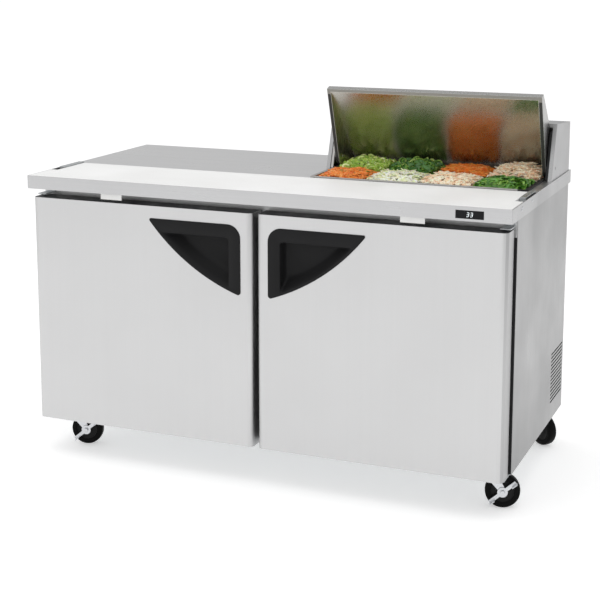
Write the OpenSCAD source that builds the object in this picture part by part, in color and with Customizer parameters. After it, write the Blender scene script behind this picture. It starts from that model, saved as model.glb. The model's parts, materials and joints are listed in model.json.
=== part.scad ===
// Two-door sandwich prep table on casters, with a short lidded pan hood at its right end.
// The front faces -Y, +X is to the right and the origin is on the floor at the middle of the plan.
// It is drawn as it stands in use: lid open, doors shut, pans and board seated.

/* [Cabinet] */
// Overall width over the worktop
table_w = 1530; // [1524:2:1540]
// Overall depth from rail face to worktop rear
table_d = 762; // [756:2:770]
// Height of the worktop above the floor
work_h = 894; // [888:2:904]
// Height of the front rail and of the worktop skirt
rail_h = 41; // [39:1:43]
// Thickness of the worktop, rail and hood sheet
sheet_t = 1.5; // [1.2:0.1:1.6]
// Thickness of the foam in the cabinet walls
wall_t = 47; // [44:1:49]
// Width of the mullion between the two openings
mullion_w = 50; // [46:1:56]

/* [Doors] */
// Gap between the two doors
door_gap = 16; // [14:1:20]
// Thickness of a door without its gasket
door_t = 68; // [66:1:70]
// Radius of the outer vertical edges of a door
door_r = 16; // [12:1:20]
// How far a hinge pin reaches into a door
pin_reach = 15; // [12:1:18]
// Depth of the handle pocket
pocket_d = 44; // [38:1:48]

/* [Hood and lid] */
// Thickness of each hood side
hood_side_t = 12; // [10:1:13]
// Opening angle of the lid as drawn
lid_open = 71; // [66:1:71]
// Thickness of a lid side wall
lid_wall_t = 12; // [10:1:13]
// Diameter of the lid pivot pins
lid_pin_d = 10; // [8:1:11]

/* [Pans and board] */
// Width of a pan over its rim
pan_w = 162; // [160:1:163]
// Depth from front to rear of a pan over its rim
pan_l = 176; // [174:1:177]
// Height of a pan
pan_h = 102; // [90:2:110]
// Thickness of the cutting board
board_t = 12.7; // [12:0.1:12.9]

/* [Casters] */
// Wheel diameter
wheel_d = 102; // [98:1:102]
// Wheel width
wheel_w = 30; // [28:1:31]
// Distance from swivel axis to axle
trail = 38; // [34:1:40]

/* [Hidden] */
$fn = 64;
half_w = table_w / 2;
front_y = -table_d / 2;
rear_y = table_d / 2;
rail_z = work_h - rail_h;
top_t = 2;
seam = 0.2;

// cabinet box
skirt_out = 6;
side_x = half_w - skirt_out;
face_y = front_y + 89;
back_y = rear_y - 3;
base_z = 114;
base_t = 2;
foam_x = side_x - sheet_t;
foam_z0 = base_z + base_t;
foam_top = work_h - 4;
ceiling_t = wall_t + 18;
frame_t = 6;
liner_t = 1.2;
cav_x = foam_x - wall_t - liner_t;
cav_z0 = foam_z0 + wall_t + 5;
cav_z1 = rail_z - ceiling_t;
step_y = front_y + 527;
step_z = 443;
cav_y1 = back_y - sheet_t - wall_t;
mach_y = step_y + wall_t + liner_t;
mach_z = step_z - wall_t - liner_t;

// board ledge and worktop split
ledge_z = work_h - 14;
split_y = front_y + 296;
board_z = ledge_z + sheet_t + 0.3;
display_back = front_y + sheet_t + 0.8;

// pan opening
open_x0 = half_w - 694;
open_w = 654;
open_x1 = open_x0 + open_w;
open_y0 = front_y + 303;
open_l = 355;
open_y1 = open_y0 + open_l;
ledge_in = 9.5;
well_z0 = cav_z1 + liner_t + 0.3;
well_t = 1.5;
pitch_x = open_w / 4;
pitch_y = open_l / 2;
flange_t = 1.8;
pan_wall = 1.2;
pan_in = 12;

// hood housing
hood_x1 = half_w - 4;
hood_x0 = open_x0 + open_x1 - hood_x1;
hood_top = work_h + 168;
hood_back = front_y + 747;
hood_fall = 13;
strip_t = 9;
pin_y = front_y + 545;
pin_z = work_h + 34.5;
pin_gap = 0.05;

// lid, laid out shut and then turned about its pins
lid_x0 = open_x0 - 13;
lid_x1 = open_x1 + 13;
rim_z = work_h + 5.5;
lip_y = front_y + 297;
lip_h = 21;
heel_r = pin_z - rim_z - 0.2;
lid_skin = 1.2;
seal_h = 5;

// doors
door_y0 = front_y + 8;
door_y1 = door_y0 + door_t;
door_z0 = base_z + 1;
door_z1 = rail_z - 27;
door_x0 = door_gap / 2;
door_x1 = side_x - 7;
shell_t = 1;
gasket_end = face_y - 0.8;
pivot_x = door_x1 - 12;
pivot_y = front_y + 51;
hinge_pin_d = 10;
hinge_gap = 0.06;
bracket_t = 3.5;
handle_gap_x = 44;
handle_gap_z = 37;
handle_h = 212;
handle_r = 42;
handle_arc = 627;
handle_cx = 147;
handle_cz = door_z1 + 347;

// casters
stem_x = half_w - 77;
stem_front = face_y + 32;
stem_rear = rear_y - 57;
axle_d = 8;
turn_front = 14;
turn_rear = -36;
turn_rear_left = 180 - turn_front;
leg_y = wheel_w / 2 + 3;
leg_t = 3;
crown_z = wheel_d + 2;
plate_z = base_z - 3;

// cold and warm side machinery
evap_x = 250;
evap_z0 = step_z + 12;
evap_h = 180;
evap_y0 = front_y + 590;
fan_x = -120;
fan_z = evap_z0 + evap_h / 2;
fan_d = 150;
cond_x = half_w - 150;
cond_z = 225;
cond_fan_d = 160;
comp_x = 330;
comp_d = 140;
comp_top = foam_z0 + 150;
dome_r = 80.5;
dome_z = comp_top - 40;
stub_z = dome_z + 74.2;
coil_x0 = -30;
riser_x = coil_x0 - 10;
riser_y = evap_y0 + 75;
riser_top = evap_z0 + 38;
riser_d = 8;
line_z = foam_z0 + 235;
mach_mid = (mach_y + back_y) / 2;
louvre_n = 14;
louvre_pitch = 12;
shelf_z = 450;
shelf_d = 460;

// ---------- helpers ----------

module box(x, y, z) {
    translate([x[0], y[0], z[0]]) cube([x[1] - x[0], y[1] - y[0], z[1] - z[0]]);
}

module rect(x, y) {
    translate([x[0], y[0]]) square([x[1] - x[0], y[1] - y[0]]);
}

// a drawing in (x, z) given thickness along y from y0 to y1
module stand(y0, y1) {
    translate([0, y1, 0]) rotate([90, 0, 0]) linear_extrude(y1 - y0) children();
}

// a drawing in (y, z) given thickness along x from x0 to x1
module across(x0, x1) {
    translate([x0, 0, 0]) rotate([90, 0, 90]) linear_extrude(x1 - x0) children();
}

module mirror_left() {
    mirror([1, 0, 0]) children();
}

module rod_x(x0, x1, y, z, d) {
    translate([x0, y, z]) rotate([0, 90, 0]) cylinder(d = d, h = x1 - x0);
}

module rod_y(y0, y1, x, z, d) {
    translate([x, y1, z]) rotate([90, 0, 0]) cylinder(d = d, h = y1 - y0);
}

module rod_z(z0, z1, x, y, d) {
    translate([x, y, z0]) cylinder(d = d, h = z1 - z0);
}

// ---------- cabinet ----------

module base_pan() {
    color("#9a9c9e") {
        box([-foam_x, foam_x], [face_y, back_y], [base_z, base_z + base_t]);
    }
}

module side_sheet() {
    box([foam_x, side_x], [face_y, back_y], [base_z, rail_z - 0.5]);
}

module side_panel_left() {
    color("#b4b6b8") mirror_left() side_sheet();
}

module side_panel_right() {
    color("#b4b6b8") difference() {
        side_sheet();
        across(foam_x - 1, side_x + 1) {
            for (i = [0 : louvre_n - 1]) {
                translate([front_y + 585, 172 + i * louvre_pitch]) square([160, 5]);
            }
        }
    }
}

module rear_panel() {
    color("#a8aaac") difference() {
        box([-foam_x, foam_x], [back_y - sheet_t, back_y], [foam_z0, work_h - top_t]);
        stand(back_y - sheet_t - 1, back_y + 1) {
            for (i = [0 : 9]) translate([180, 160 + i * 18]) square([470, 7]);
            translate([-500, 200]) circle(d = 24.4);
        }
    }
}

module cavity_profile(grow) {
    rect([face_y - 1, step_y + grow], [cav_z0 - grow, cav_z1 + grow]);
    rect([step_y - 1, cav_y1 + grow], [step_z - grow, cav_z1 + grow]);
}

// foam slabs: they butt together with a hairline seam
module insulation() {
    y0 = face_y + frame_t;
    y1 = back_y - sheet_t;
    c = cav_x + liner_t;
    lid0 = cav_z1 + liner_t;
    wx = [open_x0 + ledge_in - well_t - 0.5, open_x1 - ledge_in + well_t + 0.5];
    wy = [open_y0 + ledge_in - well_t - 0.5, open_y1 - ledge_in + well_t + 0.5];
    color("#e3ddc4") {
        for (s = [0, 1]) mirror([s, 0, 0]) {
            box([c, foam_x], [y0, mach_y], [foam_z0, lid0 - seam]);
            box([c, foam_x], [mach_y + seam, y1], [mach_z, lid0 - seam]);
        }
        box([seam - c, c - seam], [y0, mach_y], [foam_z0, cav_z0 - liner_t]);
        box([seam - c, c - seam], [step_y + liner_t, mach_y], [cav_z0 - liner_t + seam, mach_z - seam]);
        difference() {
            box([seam - c, c - seam], [step_y + liner_t, y1], [mach_z, step_z - liner_t]);
            riser(riser_d + 1);
        }
        box([seam - c, c - seam], [cav_y1 + liner_t, y1], [step_z - liner_t + seam, lid0 - seam]);
        box([-foam_x, foam_x], [y0, split_y + 0.8], [lid0, rail_z - 1]);
        box([-foam_x, foam_x], [split_y + 1, wy[0]], [lid0, foam_top]);
        box([-foam_x, foam_x], [wy[1], y1], [lid0, foam_top]);
        box([-foam_x, wx[0]], [wy[0] + seam, wy[1] - seam], [lid0, foam_top]);
        box([wx[1], foam_x], [wy[0] + seam, wy[1] - seam], [lid0, foam_top]);
        box([hood_x0 + hood_side_t + 0.5, hood_x1 - hood_side_t - 0.5],
            [hood_back - 40, hood_back - sheet_t], [work_h + 1, work_h + 150]);
    }
}

module inner_liner() {
    color("#c9cbcd") difference() {
        across(-cav_x - liner_t, cav_x + liner_t) difference() {
            cavity_profile(liner_t);
            rect([face_y - 2, face_y + frame_t + 0.1], [cav_z0 - 5, cav_z1 + 5]);
        }
        across(-cav_x, cav_x) cavity_profile(0);
        box([open_x0 + ledge_in - well_t - 0.5, open_x1 - ledge_in + well_t + 0.5],
            [open_y0 + ledge_in - well_t - 0.5, open_y1 - ledge_in + well_t + 0.5],
            [cav_z1 - 1, cav_z1 + 5]);
        riser(riser_d + 1);
    }
}

// moulded strips round the two door openings, and the mullion between them
module face_frame() {
    y = [face_y, face_y + frame_t];
    color("#2a2b2d") {
        box([-foam_x, foam_x], y, [foam_z0, cav_z0]);
        box([-foam_x, foam_x], y, [cav_z1, rail_z - 1]);
        for (s = [0, 1]) mirror([s, 0, 0]) box([cav_x, foam_x], y, [cav_z0 + seam, cav_z1 - seam]);
        box([-mullion_w / 2, mullion_w / 2], [face_y, face_y + 46], [cav_z0 + seam, cav_z1 - seam]);
    }
}

module worktop() {
    color("#bdbfc1") difference() {
        union() {
            box([-half_w, half_w], [split_y, rear_y], [work_h - top_t, work_h]);
            for (s = [0, 1]) mirror([s, 0, 0])
                box([half_w - sheet_t, half_w], [split_y, rear_y], [rail_z, work_h - 1]);
            box([-half_w, half_w], [rear_y - sheet_t, rear_y], [rail_z, work_h - 1]);
        }
        box([open_x0, open_x1], [open_y0, open_y1], [work_h - 10, work_h + 1]);
    }
}

module front_rail() {
    color("#dcdddf") difference() {
        union() {
            across(-half_w, half_w) {
                rect([front_y, front_y + sheet_t], [rail_z, work_h]);
                rect([front_y, split_y - seam], [ledge_z, ledge_z + sheet_t]);
                rect([front_y, face_y + 40], [rail_z, rail_z + sheet_t]);
                rect([split_y - seam - sheet_t, split_y - seam], [ledge_z, work_h - 0.5]);
            }
            for (s = [0, 1]) mirror([s, 0, 0])
                box([half_w - sheet_t, half_w], [front_y, split_y - seam], [rail_z, work_h]);
        }
        box([half_w - 159, half_w - 79], [front_y - 1, display_back + 0.2], [rail_z + 7, rail_z + 30.2]);
    }
}

module display() {
    color("#101114") {
        box([half_w - 158.8, half_w - 79.2], [front_y - 0.4, display_back],
            [rail_z + 7.2, rail_z + 30]);
        box([half_w - 152, half_w - 86], [display_back, front_y + 34], [rail_z + 8, ledge_z - 2]);
    }
}

module rail_tabs() {
    color("#d8d8d6") {
        for (x = [-471, 483]) {
            box([x - 36, x + 36], [front_y + 3, front_y + 4.5], [rail_z - 17, rail_z - 0.1]);
            box([x - 36, x + 36], [front_y + 3, front_y + 24], [rail_z - 1.6, rail_z - 0.1]);
        }
    }
}

module board_brackets() {
    color("#8d8f92") for (s = [0, 1]) mirror([s, 0, 0]) {
        across(half_w - 24, half_w - 6) difference() {
            rect([front_y + 174, split_y - 3], [board_z, work_h + 4]);
            rect([front_y + 175.5, split_y], [board_z - 1, work_h + 2.5]);
        }
        box([half_w - 24, half_w - 22.5], [front_y + 174, split_y - 3], [board_z, work_h + 4]);
    }
}

// ---------- hood, seals and well ----------

module hood_side_2d() {
    polygon([
        [front_y + 495, work_h], [front_y + 553, hood_top],
        [hood_back, hood_top - hood_fall], [hood_back, work_h]
    ]);
}

module hood_housing() {
    color("#c4c6c8") difference() {
        union() {
            for (x = [hood_x0, hood_x1 - hood_side_t]) {
                across(x, x + hood_side_t) hood_side_2d();
            }
            across(hood_x0 + 1, hood_x1 - 1) {
                polygon([
                    [front_y + 566, hood_top - 1.2], [hood_back, hood_top - hood_fall],
                    [hood_back, hood_top - hood_fall - 2], [front_y + 566, hood_top - 3.2]
                ]);
                rect([front_y + 575, front_y + 577], [hood_top - 14, hood_top - 2.6]);
                rect([hood_back - sheet_t, hood_back], [work_h, hood_top - hood_fall - 1]);
                rect([hood_back - 42, hood_back - 40.5], [work_h, hood_top - hood_fall]);
            }
        }
        rod_x(hood_x0 - 1, hood_x0 + hood_side_t + 1, pin_y, pin_z, lid_pin_d + 2 * pin_gap);
        rod_x(hood_x1 - hood_side_t - 1, hood_x1 + 1, pin_y, pin_z, lid_pin_d + 2 * pin_gap);
    }
}

// slanted strip along the front edge of a hood side
module strip_2d() {
    difference() {
        polygon([
            [front_y + 499, work_h + 1], [front_y + 547, work_h + 143],
            [front_y + 556, work_h + 143], [front_y + 508, work_h + 1]
        ]);
        translate([pin_y, pin_z]) circle(d = lid_pin_d + 4);
    }
}

module lid_seals() {
    color("#141416") {
        box([open_x0 - 12, open_x1 + 12], [open_y0 - 6.5, open_y0], [work_h, work_h + seal_h]);
        box([open_x0 - 12, open_x1 + 12], [open_y1, open_y1 + 10], [work_h, work_h + seal_h]);
        for (x = [open_x0 - 12, open_x1]) {
            box([x, x + 12], [open_y0 + seam, open_y1 - seam], [work_h, work_h + seal_h]);
        }
        for (x = [hood_x0 + hood_side_t, hood_x1 - hood_side_t - strip_t]) {
            across(x, x + strip_t) strip_2d();
        }
    }
}

// four flanged walls, butted at the corners
module pan_well() {
    fx = [open_x0 - 10, open_x1 + 10];
    fy = [open_y0 - 6, open_y1 + 10];
    wx = [open_x0 + ledge_in - well_t, open_x1 - ledge_in + well_t];
    wy = [open_y0 + ledge_in - well_t, open_y1 - ledge_in + well_t];
    top = [work_h - 3.5, work_h - top_t];
    wall = [well_z0, work_h - top_t];
    color("#b9bbbd") {
        box(fx, [fy[0], wy[0] + well_t], top);
        box(wx, [wy[0], wy[0] + well_t], wall);
        box(fx, [wy[1] - well_t, fy[1]], top);
        box(wx, [wy[1] - well_t, wy[1]], wall);
        box([fx[0], wx[0] + well_t], [wy[0] + well_t + seam, wy[1] - well_t - seam], top);
        box([wx[0], wx[0] + well_t], [wy[0] + well_t + seam, wy[1] - well_t - seam], wall);
        box([wx[1] - well_t, fx[1]], [wy[0] + well_t + seam, wy[1] - well_t - seam], top);
        box([wx[1] - well_t, wx[1]], [wy[0] + well_t + seam, wy[1] - well_t - seam], wall);
    }
}

module pan_bars() {
    mid = (open_y0 + open_y1) / 2;
    color("#c4c6c8") translate([0, 0, work_h - 8]) linear_extrude(6) {
        rect([open_x0 + ledge_in + 0.1, open_x1 - ledge_in - 0.1], [mid - 9, mid + 9]);
        for (i = [1 : 3]) {
            x = open_x0 + i * pitch_x;
            rect([x - 8, x + 8], [open_y0 + ledge_in + 0.1, mid - 9 - seam]);
            rect([x - 8, x + 8], [mid + 9 + seam, open_y1 - ledge_in - 0.1]);
        }
    }
}

// ---------- lid ----------

module lid_pose() {
    translate([0, pin_y, pin_z]) rotate([-lid_open, 0, 0]) translate([0, -pin_y, -pin_z]) children();
}

heel_top = [front_y + 611, work_h + 140];
ridge = [front_y + 599, work_h + 158];

module lid_side(x0, x1) {
    across(x0, x1) polygon([
        [lip_y, rim_z], [lip_y, rim_z + lip_h], ridge,
        heel_top, [pin_y + heel_r - 5, pin_z - heel_r / 3], [pin_y, pin_z - heel_r + 4],
        [pin_y - 7, rim_z]
    ]);
    rod_x(x0, x1, pin_y, pin_z, 2 * heel_r);
}

// the room inside the outer skin, open below and behind
module lid_room_2d() {
    polygon([
        [lip_y + lid_skin, rim_z - 5], [lip_y + lid_skin, rim_z + lip_h - 0.9],
        [ridge[0] + 0.6, ridge[1] - lid_skin - 0.2], [front_y + 640, ridge[1]],
        [front_y + 640, rim_z - 20], [lip_y + lid_skin, rim_z - 20]
    ]);
}

module lid_shell() {
    color("#d2d4d6") lid_pose() difference() {
        lid_side(lid_x0, lid_x1);
        across(lid_x0 + lid_skin, lid_x1 - lid_skin) lid_room_2d();
        rod_x(lid_x0 - 1, lid_x1 + 1, pin_y, pin_z, lid_pin_d);
    }
}

// the hollow under the lid, grown by g
module lid_hollow(g) {
    across(lid_x0 + lid_wall_t - g, lid_x1 - lid_wall_t + g) polygon([
        [lip_y + 11 - g, rim_z - 50], [lip_y + 11 - g, rim_z + g * 0.7], [heel_top[0], heel_top[1] + g],
        [front_y + 660, work_h + 160], [front_y + 660, rim_z - 50]
    ]);
}

module lid_inside() {
    intersection() {
        lid_side(lid_x0 + lid_skin, lid_x1 - lid_skin);
        across(lid_x0, lid_x1) lid_room_2d();
    }
}

module lid_core() {
    color("#d9d3b8") lid_pose() difference() {
        lid_inside();
        lid_hollow(lid_skin);
        rod_x(lid_x0 - 1, lid_x1 + 1, pin_y, pin_z, lid_pin_d);
    }
}

module lid_liner() {
    color("#8f9194") lid_pose() difference() {
        intersection() {
            lid_inside();
            lid_hollow(lid_skin);
        }
        lid_hollow(0);
        rod_x(lid_x0 - 1, lid_x1 + 1, pin_y, pin_z, lid_pin_d);
    }
}

module lid_pins() {
    color("#707274") lid_pose() {
        rod_x(lid_x0 - strip_t - 12, lid_x0 + lid_wall_t - 0.5, pin_y, pin_z, lid_pin_d);
        rod_x(lid_x1 - lid_wall_t + 0.5, lid_x1 + strip_t + 12, pin_y, pin_z, lid_pin_d);
    }
}

// ---------- board and pans ----------

module cutting_board() {
    color("#f4f4f2") translate([0, 0, board_z]) linear_extrude(board_t) difference() {
        rect([-half_w + 3, half_w - 3], [front_y + sheet_t + 1, split_y - 5]);
        for (s = [-1, 1]) {
            translate([s * (half_w - 12.5), front_y + 130 + 100]) square([28, 200], center = true);
        }
    }
}

// one pan: its rim corner radius and tapered body follow the usual pressed shape
module pan_at(col, row) {
    cx = open_x0 + (col + 0.5) * pitch_x;
    cy = open_y0 + (row + 0.5) * pitch_y;
    z0 = work_h - top_t + seam;
    bw = pan_w - 2 * pan_in;
    bl = pan_l - 2 * pan_in;
    translate([cx, cy, 0]) difference() {
        union() {
            translate([0, 0, z0]) linear_extrude(flange_t) pan_2d(pan_w, pan_l, 12);
            translate([0, 0, z0 + flange_t - pan_h]) linear_extrude(pan_h) pan_2d(bw, bl, 22);
        }
        translate([0, 0, z0 + flange_t - pan_h + pan_wall]) linear_extrude(pan_h)
            pan_2d(bw - 2 * pan_wall, bl - 2 * pan_wall, 21);
    }
}

module pan_2d(w, l, r) {
    square([w - 2 * r, l], center = true);
    square([w, l - 2 * r], center = true);
    for (x = [-1, 1], y = [-1, 1]) translate([x * (w / 2 - r), y * (l / 2 - r)]) circle(r = r);
}

// ---------- doors (drawn for the right, mirrored for the left) ----------

module door_plan(inset) {
    r = door_r - inset;
    a = [door_x0 + inset, door_x1 - inset];
    rect(a, [door_y0 + inset + r, door_y1]);
    rect([a[0] + r, a[1] - r], [door_y0 + inset, door_y1]);
    for (x = [a[0] + r, a[1] - r]) translate([x, door_y0 + inset + r]) circle(r = r);
}

// outline of the handle in (x, z), shrunk by an inset
module handle_2d(inset) {
    r = handle_r - inset;
    x0 = handle_gap_x + inset;
    z1 = door_z1 - handle_gap_z - inset;
    z0 = door_z1 - handle_gap_z - handle_h;
    intersection() {
        translate([-handle_cx, handle_cz]) circle(r = handle_arc - inset, $fn = 180);
        union() {
            rect([x0, handle_gap_x + 330], [z0, z1 - r]);
            rect([x0 + r, handle_gap_x + 330], [z0, z1]);
            translate([x0 + r, z1 - r]) circle(r = r);
        }
    }
}

// the finger pocket in the handle: a wide flat border is left above and beside it
module pocket_2d() {
    x0 = handle_gap_x + 38;
    z1 = door_z1 - handle_gap_z - 40;
    z0 = door_z1 - handle_gap_z - handle_h;
    r = 8;
    intersection() {
        translate([-handle_cx, handle_cz]) circle(r = handle_arc - 8, $fn = 180);
        union() {
            rect([x0, x0 + 260], [z0, z1 - r]);
            rect([x0 + r, x0 + 260], [z0, z1]);
            translate([x0 + r, z1 - r]) circle(r = r);
        }
    }
}

module door_shell() {
    difference() {
        translate([0, 0, door_z0]) linear_extrude(door_z1 - door_z0) difference() {
            door_plan(0);
            door_plan(shell_t);
            rect([door_x0 + shell_t, door_x1 - shell_t], [door_y1 - 10, door_y1 + 1]);
        }
        stand(door_y0 - 1, door_y0 + 20) handle_2d(4);
    }
}

module door_core() {
    difference() {
        translate([0, 0, door_z0]) linear_extrude(door_z1 - door_z0) door_plan(shell_t);
        stand(door_y0 - 1, door_y0 + pocket_d + 0.2) handle_2d(4);
        rod_z(door_z0 - 1, door_z0 + pin_reach + 1, pivot_x, pivot_y, hinge_pin_d + 2 * hinge_gap);
        rod_z(door_z1 - pin_reach - 1, door_z1 + 1, pivot_x, pivot_y, hinge_pin_d + 2 * hinge_gap);
    }
}

module door_gasket() {
    stand(door_y1, gasket_end) difference() {
        rect([door_x0 + 10, door_x1 - 22], [door_z0 + 20, door_z1 - 20]);
        rect([door_x0 + 26, door_x1 - 38], [door_z0 + 36, door_z1 - 36]);
    }
}

module door_handle() {
    difference() {
        union() {
            stand(door_y0 - 2, door_y0) handle_2d(0);
            stand(door_y0 - 1, door_y0 + pocket_d) handle_2d(4.2);
        }
        stand(door_y0 - 3, door_y0 + pocket_d - 2) pocket_2d();
    }
}

module door_left_shell() { color("#d6d7d8") mirror_left() door_shell(); }
module door_left_core() { color("#3a3b3d") mirror_left() door_core(); }
module door_left_gasket() { color("#5b5c5e") mirror_left() door_gasket(); }
module door_left_handle() { color("#1e1f21") mirror_left() door_handle(); }
module door_right_shell() { color("#d6d7d8") door_shell(); }
module door_right_core() { color("#3a3b3d") door_core(); }
module door_right_gasket() { color("#5b5c5e") door_gasket(); }
module door_right_handle() { color("#1e1f21") door_handle(); }

module door_hinges() {
    bx = [door_x1 - 30, door_x1];
    color("#7d7f82") for (s = [0, 1]) mirror([s, 0, 0]) {
        box(bx, [pivot_y - 15, face_y + 30], [base_z - bracket_t - 0.1, base_z - 0.1]);
        rod_z(base_z - 1, door_z0 + pin_reach, pivot_x, pivot_y, hinge_pin_d);
        box(bx, [pivot_y - 15, face_y - 0.1], [door_z1 + 4, door_z1 + 4 + bracket_t]);
        box(bx, [face_y - 3.1, face_y - 0.1], [door_z1 + 5, rail_z - 2]);
        rod_z(door_z1 - pin_reach, door_z1 + 5, pivot_x, pivot_y, hinge_pin_d);
    }
}

// ---------- inside ----------

module shelf_standards() {
    color("#a7a9ab") {
        for (s = [-1, 1]) {
            for (y = [face_y + 60, step_y - 60]) {
                x = s * (cav_x - 2.1);
                box([x - 2, x + 2], [y - 8, y + 8], [cav_z0 + 5, cav_z1 - 5]);
                box([x - (s > 0 ? 14 : -2.1), x + (s > 0 ? -2.1 : 14)], [y - 6, y + 6],
                    [shelf_z - 4, shelf_z - 0.1]);
            }
            x = s * 14;
            box([x - 8, x + 8], [step_y - 4.2, step_y - 0.2], [cav_z0 + 5, step_z - 5]);
            box([x - 8, x + 8], [face_y + 46.1, face_y + 50], [cav_z0 + 5, cav_z1 - 5]);
        }
    }
}

// each shelf is a grid of flat wires in one frame
module shelves() {
    x0 = 12;
    x1 = cav_x - 5;
    y0 = face_y + 55;
    y1 = step_y - 6;
    n = 17;
    gap = (x1 - x0 - 8) / n;
    color("#cfd1d2") for (s = [0, 1]) mirror([s, 0, 0]) translate([0, 0, shelf_z]) {
        linear_extrude(5) {
            difference() {
                rect([x0, x1], [y0, y1]);
                rect([x0 + 6, x1 - 6], [y0 + 6, y1 - 6]);
            }
            for (i = [1 : n - 1]) translate([x0 + 4 + i * gap, (y0 + y1) / 2])
                square([3.5, y1 - y0 - 6], center = true);
            for (y = [y0 + (y1 - y0) / 3, y0 + 2 * (y1 - y0) / 3]) rect([x0 + 3, x1 - 3], [y - 2, y + 2]);
        }
    }
}

module fin_block(x, y, z, n) {
    pitch = (x[1] - x[0]) / n;
    for (i = [0 : n - 1]) {
        box([x[0] + i * pitch, x[0] + i * pitch + 1.2], y, z);
    }
}

module evaporator_coil() {
    color("#c98f5e") {
        fin_block([coil_x0, evap_x - 14], [evap_y0 + 30, evap_y0 + 90],
            [evap_z0 + 20, evap_z0 + evap_h - 20], 24);
        for (i = [0 : 3], j = [0, 1]) {
            rod_x(coil_x0 - 4, evap_x - 12, evap_y0 + 45 + 30 * j, evap_z0 + 38 + 35 * i, 9.5);
        }
    }
}

module evaporator_cover() {
    color("#b5b7b9") difference() {
        box([-evap_x, evap_x], [evap_y0, cav_y1 - 0.5], [evap_z0, evap_z0 + evap_h]);
        box([-evap_x + sheet_t, evap_x - sheet_t], [evap_y0 + sheet_t, cav_y1 + 1],
            [evap_z0 + sheet_t, evap_z0 + evap_h - sheet_t]);
        rod_y(evap_y0 - 1, evap_y0 + 5, fan_x, fan_z, fan_d + 8);
        stand(evap_y0 - 1, evap_y0 + 5) {
            for (i = [0 : 7]) translate([0, evap_z0 + 24 + i * 18]) square([220, 8]);
        }
        riser(riser_d + 1);
    }
}

// fan blades and hub, facing -Y, centred on the origin
module fan_wheel(d, bore) {
    rotate([90, 0, 0]) difference() {
        union() {
            cylinder(d = d * 0.24, h = 18, center = true);
            for (i = [0 : 4]) rotate([0, 0, 72 * i]) translate([d * 0.28, 0, 0])
                rotate([28, 0, 0]) cube([d * 0.4, 26, 1.6], center = true);
        }
        cylinder(d = bore, h = 40, center = true);
    }
}

module evaporator_fan() {
    color("#26272a") translate([fan_x, evap_y0 + 22, fan_z]) fan_wheel(fan_d, 6.2);
}

module condenser_fan() {
    color("#26272a") translate([cond_x - 50, mach_mid, cond_z]) rotate([0, 0, 90])
        fan_wheel(cond_fan_d, 6.2);
}

module fan_motors() {
    color("#55585c") {
        rod_y(evap_y0 + 34, evap_y0 + 74, fan_x, fan_z, 62);
        rod_y(evap_y0 + 10, evap_y0 + 35, fan_x, fan_z, 6);
        box([fan_x - 12, fan_x + 12], [evap_y0 + 40, evap_y0 + 70], [evap_z0 + sheet_t + 0.1, fan_z]);
        rod_x(cond_x - 112, cond_x - 63, mach_mid, cond_z, 70);
        rod_x(cond_x - 64, cond_x - 36, mach_mid, cond_z, 6);
        box([cond_x - 105, cond_x - 75], [mach_mid - 15, mach_mid + 15], [foam_z0 + 0.1, cond_z]);
    }
}

module compressor() {
    color("#1b1c1e") translate([comp_x, mach_mid, 0]) {
        rod_z(foam_z0 + 18, comp_top, 0, 0, comp_d);
        intersection() {
            translate([0, 0, dome_z]) sphere(r = dome_r);
            rod_z(comp_top - 1, dome_z + dome_r + 1, 0, 0, comp_d);
        }
        box([-90, 90], [-60, 60], [foam_z0 + 12, foam_z0 + 19]);
        for (x = [-1, 1], y = [-1, 1]) rod_z(foam_z0 + 0.1, foam_z0 + 13, x * 78, y * 48, 20);
    }
}

module condenser_coil() {
    color("#8a8d90") {
        for (i = [0 : 23]) {
            box([cond_x + 20, cond_x + 90], [mach_mid - 82 + i * 7, mach_mid - 80.8 + i * 7],
                [foam_z0 + 0.2, foam_z0 + 230]);
        }
        for (i = [0 : 4], j = [0, 1]) {
            rod_y(mach_mid - 84, mach_mid + 82, cond_x + 38 + 34 * j, foam_z0 + 30 + 42 * i, 9.5);
        }
    }
}

// the line that climbs through the foam to the coil in the cabinet
module riser(d) {
    rod_z(line_z, riser_top, riser_x, riser_y, d);
}

module refrigerant_lines() {
    color("#b5713a") {
        rod_z(stub_z, line_z - 20, comp_x + 30, mach_mid + 20, riser_d);
        translate([comp_x + 30, mach_mid + 20, line_z - 20]) sphere(d = riser_d);
        rod_x(comp_x + 30, cond_x + 12, mach_mid + 20, line_z - 20, riser_d);
        rod_z(stub_z, line_z, comp_x - 40, riser_y, riser_d);
        rod_x(riser_x, comp_x - 40, riser_y, line_z, riser_d);
        for (x = [riser_x, comp_x - 40]) translate([x, riser_y, line_z]) sphere(d = riser_d);
        riser(riser_d);
        translate([riser_x, riser_y, riser_top]) sphere(d = riser_d);
        rod_x(riser_x, coil_x0 - 4.1, riser_y, riser_top, riser_d);
    }
}

module control_box() {
    color("#63666a") {
        box([-560, -400], [mach_y + 30, back_y - 12], [foam_z0 + 0.2, foam_z0 + 150]);
        rod_y(back_y - 13, back_y + 2.5, -500, 200, 24);
    }
}

// ---------- casters ----------

function caster_turn(sx, sy) = sy < 0 ? turn_front : (sx < 0 ? turn_rear_left : turn_rear);

// places a caster part at one corner: sx picks left or right, sy front or rear
module at_caster(sx, sy) {
    translate([sx * stem_x, sy < 0 ? stem_front : stem_rear, 0])
        rotate([0, 0, caster_turn(sx, sy)]) children();
}

module caster_plates() {
    color("#85888b") for (sx = [-1, 1], sy = [-1, 1]) at_caster(sx, sy) {
        rotate([0, 0, -caster_turn(sx, sy)])
            translate([0, 0, plate_z + 1.5]) cube([60, 60, 3], center = true);
        rod_z(crown_z + 3.4, plate_z + 1, 0, 0, 50);
        rod_z(crown_z - 0.5, plate_z + 1, 0, 0, 12);
        rod_z(crown_z - 3.3, crown_z - 0.3, 0, 0, 20);
    }
}

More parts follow.
